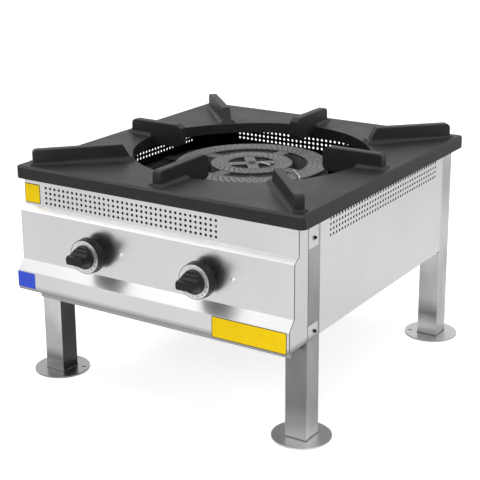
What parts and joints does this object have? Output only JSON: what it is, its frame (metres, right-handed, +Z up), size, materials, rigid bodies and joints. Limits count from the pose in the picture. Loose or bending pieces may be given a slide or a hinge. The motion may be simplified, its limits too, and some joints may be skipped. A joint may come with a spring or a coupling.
{
  "type": "stock pot range",
  "caption": "Low free-standing gas range for stock pots: cast pan support with fingers, double ring burner, two push-and-turn knobs, drip tray, tube legs on discs.",
  "frame": {"origin": "middle of the bounding box at floor height", "axes": "+X to the cook's right, +Y to the back away from the cook, +Z up; the knobs face -Y"},
  "size_m": [0.622, 0.694, 0.43],
  "materials": {
    "stainless": "fine brushed",
    "zinc_steel": "dull zinc",
    "bright_steel": "bright",
    "grate_iron": "matt black enamel on cast iron",
    "burner_iron": "bare grey casting",
    "brass": "machined",
    "knob_plastic": "satin black",
    "dial_metal": "satin",
    "chrome": "polished"
  },
  "bodies": {
    "stand": {"leg_front_left": "stainless", "leg_front_right": "stainless", "leg_back_left": "stainless", "leg_back_right": "stainless", "foot_front_left": "stainless", "foot_front_right": "stainless", "foot_back_left": "stainless", "foot_back_right": "stainless", "front_panel": "stainless", "side_panel_left": "stainless", "side_panel_right": "stainless", "back_panel": "stainless", "rail_left": "zinc_steel", "rail_right": "zinc_steel", "burner_bar_front": "zinc_steel", "burner_bar_back": "zinc_steel", "burner_casting": "burner_iron", "outer_port_cap": "burner_iron", "inner_port_cap": "burner_iron", "air_shutter_left": "zinc_steel", "air_shutter_right": "zinc_steel", "injector_left": "brass", "injector_right": "brass", "feed_pipe_left": "bright_steel", "feed_pipe_right": "bright_steel", "manifold": "zinc_steel", "manifold_bracket_left": "zinc_steel", "manifold_bracket_right": "zinc_steel", "supply_pipe": "zinc_steel", "gas_inlet": "brass", "tap_left": "brass", "tap_right": "brass", "index_stud_left": "chrome", "index_stud_right": "chrome", "thermocouple_outer": "bright_steel", "thermocouple_inner": "bright_steel", "tray_runner_left": "stainless", "tray_runner_right": "stainless"},
    "pan_support": {"pan_support": "grate_iron"},
    "drip_tray": {"drip_tray": "stainless"},
    "tap_push_left": {"tap_collar_left": "bright_steel"},
    "knob_left": {"spindle_left": "bright_steel", "knob_left": "knob_plastic", "dial_left": "dial_metal"},
    "tap_push_right": {"tap_collar_right": "bright_steel"},
    "knob_right": {"spindle_right": "bright_steel", "knob_right": "knob_plastic", "dial_right": "dial_metal"}
  },
  "joints": [
    {"name": "pan_support_lift", "type": "slide", "parent": "stand", "child": "pan_support", "axis": [0, 0, 1], "range_m": [0, 0.15]},
    {"name": "tray_pull", "type": "slide", "parent": "stand", "child": "drip_tray", "axis": [0, -1, 0], "range_m": [0, 0.4]},
    {"name": "tap_push_left", "type": "slide", "parent": "stand", "child": "tap_push_left", "axis": [0, 1, 0], "range_m": [0, 0.003], "stiffness_N_per_m": 1500, "springref_m": -0.003},
    {"name": "knob_turn_left", "type": "hinge", "parent": "tap_push_left", "child": "knob_left", "pos_m": [-0.1135, -0.289, 0.2745], "axis": [0, -1, 0], "range_deg": [0, 180]},
    {"name": "tap_push_right", "type": "slide", "parent": "stand", "child": "tap_push_right", "axis": [0, 1, 0], "range_m": [0, 0.003], "stiffness_N_per_m": 1500, "springref_m": -0.003},
    {"name": "knob_turn_right", "type": "hinge", "parent": "tap_push_right", "child": "knob_right", "pos_m": [0.1135, -0.289, 0.2745], "axis": [0, -1, 0], "range_deg": [0, 180]}
  ]
}
